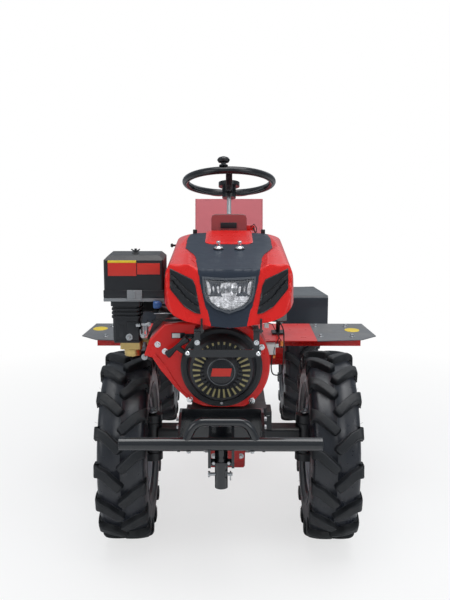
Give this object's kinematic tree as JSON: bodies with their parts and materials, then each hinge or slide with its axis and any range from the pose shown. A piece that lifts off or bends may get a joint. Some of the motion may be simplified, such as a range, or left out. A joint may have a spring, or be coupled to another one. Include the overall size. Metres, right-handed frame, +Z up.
{
  "type": "power tiller",
  "caption": "Ride-on power tiller with a front engine, four lugged wheels, steered front axle, tilting hood, footboards, sheet seat and hitches at both ends.",
  "frame": {"origin": "on the ground, below the middle of the machine's box", "axes": "the machine faces -Y, +Z is up, +X is the driver's left; Y is its longest extent"},
  "size_m": [1.126, 2.0989, 1.2976],
  "materials": {
    "red_paint": "gloss signal red",
    "black_paint": "gloss black",
    "frame_paint": "satin black",
    "knuckle_paint": "dark red on castings",
    "panel_paint": "satin slate grey",
    "rim_paint": "light lavender grey",
    "tyre": "black rubber, worn lightly",
    "engine_metal": "cast, matt",
    "cast_black": "painted casting",
    "steel": "bare",
    "chrome": "bright",
    "black_plastic": "moulded, fine grain",
    "gloss_plastic": "moulded, glossy",
    "lens": "clear",
    "bezel": "grey",
    "floor_paint": "grey with wear",
    "guard_paint": "satin dark slate",
    "rubber": "soft"
  },
  "bodies": {
    "chassis": {"frame_rails": "frame_paint", "front_bumper": "black_paint", "bumper_legs": "frame_paint", "hitch_socket": "frame_paint", "hitch_pin": "steel", "front_gearbox": "knuckle_paint", "front_axle_beam": "frame_paint", "steering_box": "cast_black", "steering_column": "black_paint", "drive_shafts": "steel", "main_gearbox": "cast_black", "rear_axle": "cast_black", "rear_hitch": "frame_paint", "engine_block": "engine_metal", "cylinder_head": "engine_metal", "fan_shroud": "red_paint", "recoil_cover": "black_paint", "recoil_handle": "black_plastic", "belt_guard": "black_paint", "air_cleaner": "black_plastic", "intake_elbow": "rubber", "carburettor": "engine_metal", "silencer": "steel", "fuel_tank": "black_paint", "hood_bracket": "black_paint", "dashboard": "red_paint", "footboards": "floor_paint", "footboard_supports": "red_paint", "mudguards": "guard_paint", "seat": "red_paint", "seat_pedestal": "red_paint", "gear_levers": "steel", "pedals": "black_paint", "cable_plugs": "black_plastic", "engine_cable": "rubber"},
    "left_knuckle": {"left_knuckle": "knuckle_paint"},
    "right_knuckle": {"right_knuckle": "knuckle_paint"},
    "tie_rod": {"tie_rod": "frame_paint"},
    "drop_arm": {"drop_arm": "steel"},
    "steering_wheel": {"steering_wheel": "black_plastic", "spinner_knob": "gloss_plastic"},
    "hood": {"hood_shell": "red_paint", "hood_panel": "panel_paint", "headlamp_bezel": "bezel", "headlamp_lens": "lens", "hood_vents": "gloss_plastic", "hood_knobs": "chrome"},
    "front_left_wheel": {"front_left_tyre": "tyre", "front_left_rim": "rim_paint"},
    "front_right_wheel": {"front_right_tyre": "tyre", "front_right_rim": "rim_paint"},
    "rear_left_wheel": {"rear_left_tyre": "tyre", "rear_left_rim": "rim_paint"},
    "rear_right_wheel": {"rear_right_tyre": "tyre", "rear_right_rim": "rim_paint"}
  },
  "joints": [
    {"name": "left_steer", "type": "hinge", "parent": "chassis", "child": "left_knuckle", "pos_m": [0.262, -0.5805, 0.345], "axis": [0, 0, 1], "range_deg": [-25, 25]},
    {"name": "right_steer", "type": "hinge", "parent": "chassis", "child": "right_knuckle", "pos_m": [-0.262, -0.5805, 0.345], "axis": [0, 0, 1], "range_deg": [-25, 25]},
    {"name": "tie_rod_pin", "type": "hinge", "parent": "left_knuckle", "child": "tie_rod", "pos_m": [0.262, -0.4705, 0.26], "axis": [0, 0, 1], "range_deg": [-25, 25]},
    {"name": "drop_arm_turn", "type": "hinge", "parent": "chassis", "child": "drop_arm", "pos_m": [0.05, -0.4305, 0.4], "axis": [0, 0, 1], "range_deg": [-25, 25]},
    {"name": "steering_wheel_turn", "type": "hinge", "parent": "chassis", "child": "steering_wheel", "pos_m": [0, -0.1405, 1.2], "axis": [0, 0.2924, 0.9563], "range_deg": [-200, 200]},
    {"name": "hood_open", "type": "hinge", "parent": "chassis", "child": "hood", "pos_m": [0, -0.9885, 0.804], "axis": [1, 0, 0], "range_deg": [0, 60]},
    {"name": "front_left_roll", "type": "hinge", "parent": "left_knuckle", "child": "front_left_wheel", "pos_m": [0.3385, -0.5805, 0.32], "axis": [1, 0, 0], "continuous": true},
    {"name": "front_right_roll", "type": "hinge", "parent": "right_knuckle", "child": "front_right_wheel", "pos_m": [-0.3385, -0.5805, 0.32], "axis": [1, 0, 0], "continuous": true},
    {"name": "rear_left_roll", "type": "hinge", "parent": "chassis", "child": "rear_left_wheel", "pos_m": [0.3385, 0.6695, 0.32], "axis": [1, 0, 0], "continuous": true},
    {"name": "rear_right_roll", "type": "hinge", "parent": "chassis", "child": "rear_right_wheel", "pos_m": [-0.3385, 0.6695, 0.32], "axis": [1, 0, 0], "continuous": true}
  ],
  "couplings": [
    {"joint": "right_steer", "follows": "left_steer", "ratio": 1},
    {"joint": "tie_rod_pin", "follows": "left_steer", "ratio": -1},
    {"joint": "drop_arm_turn", "follows": "left_steer", "ratio": 1},
    {"joint": "steering_wheel_turn", "follows": "left_steer", "ratio": 8}
  ]
}
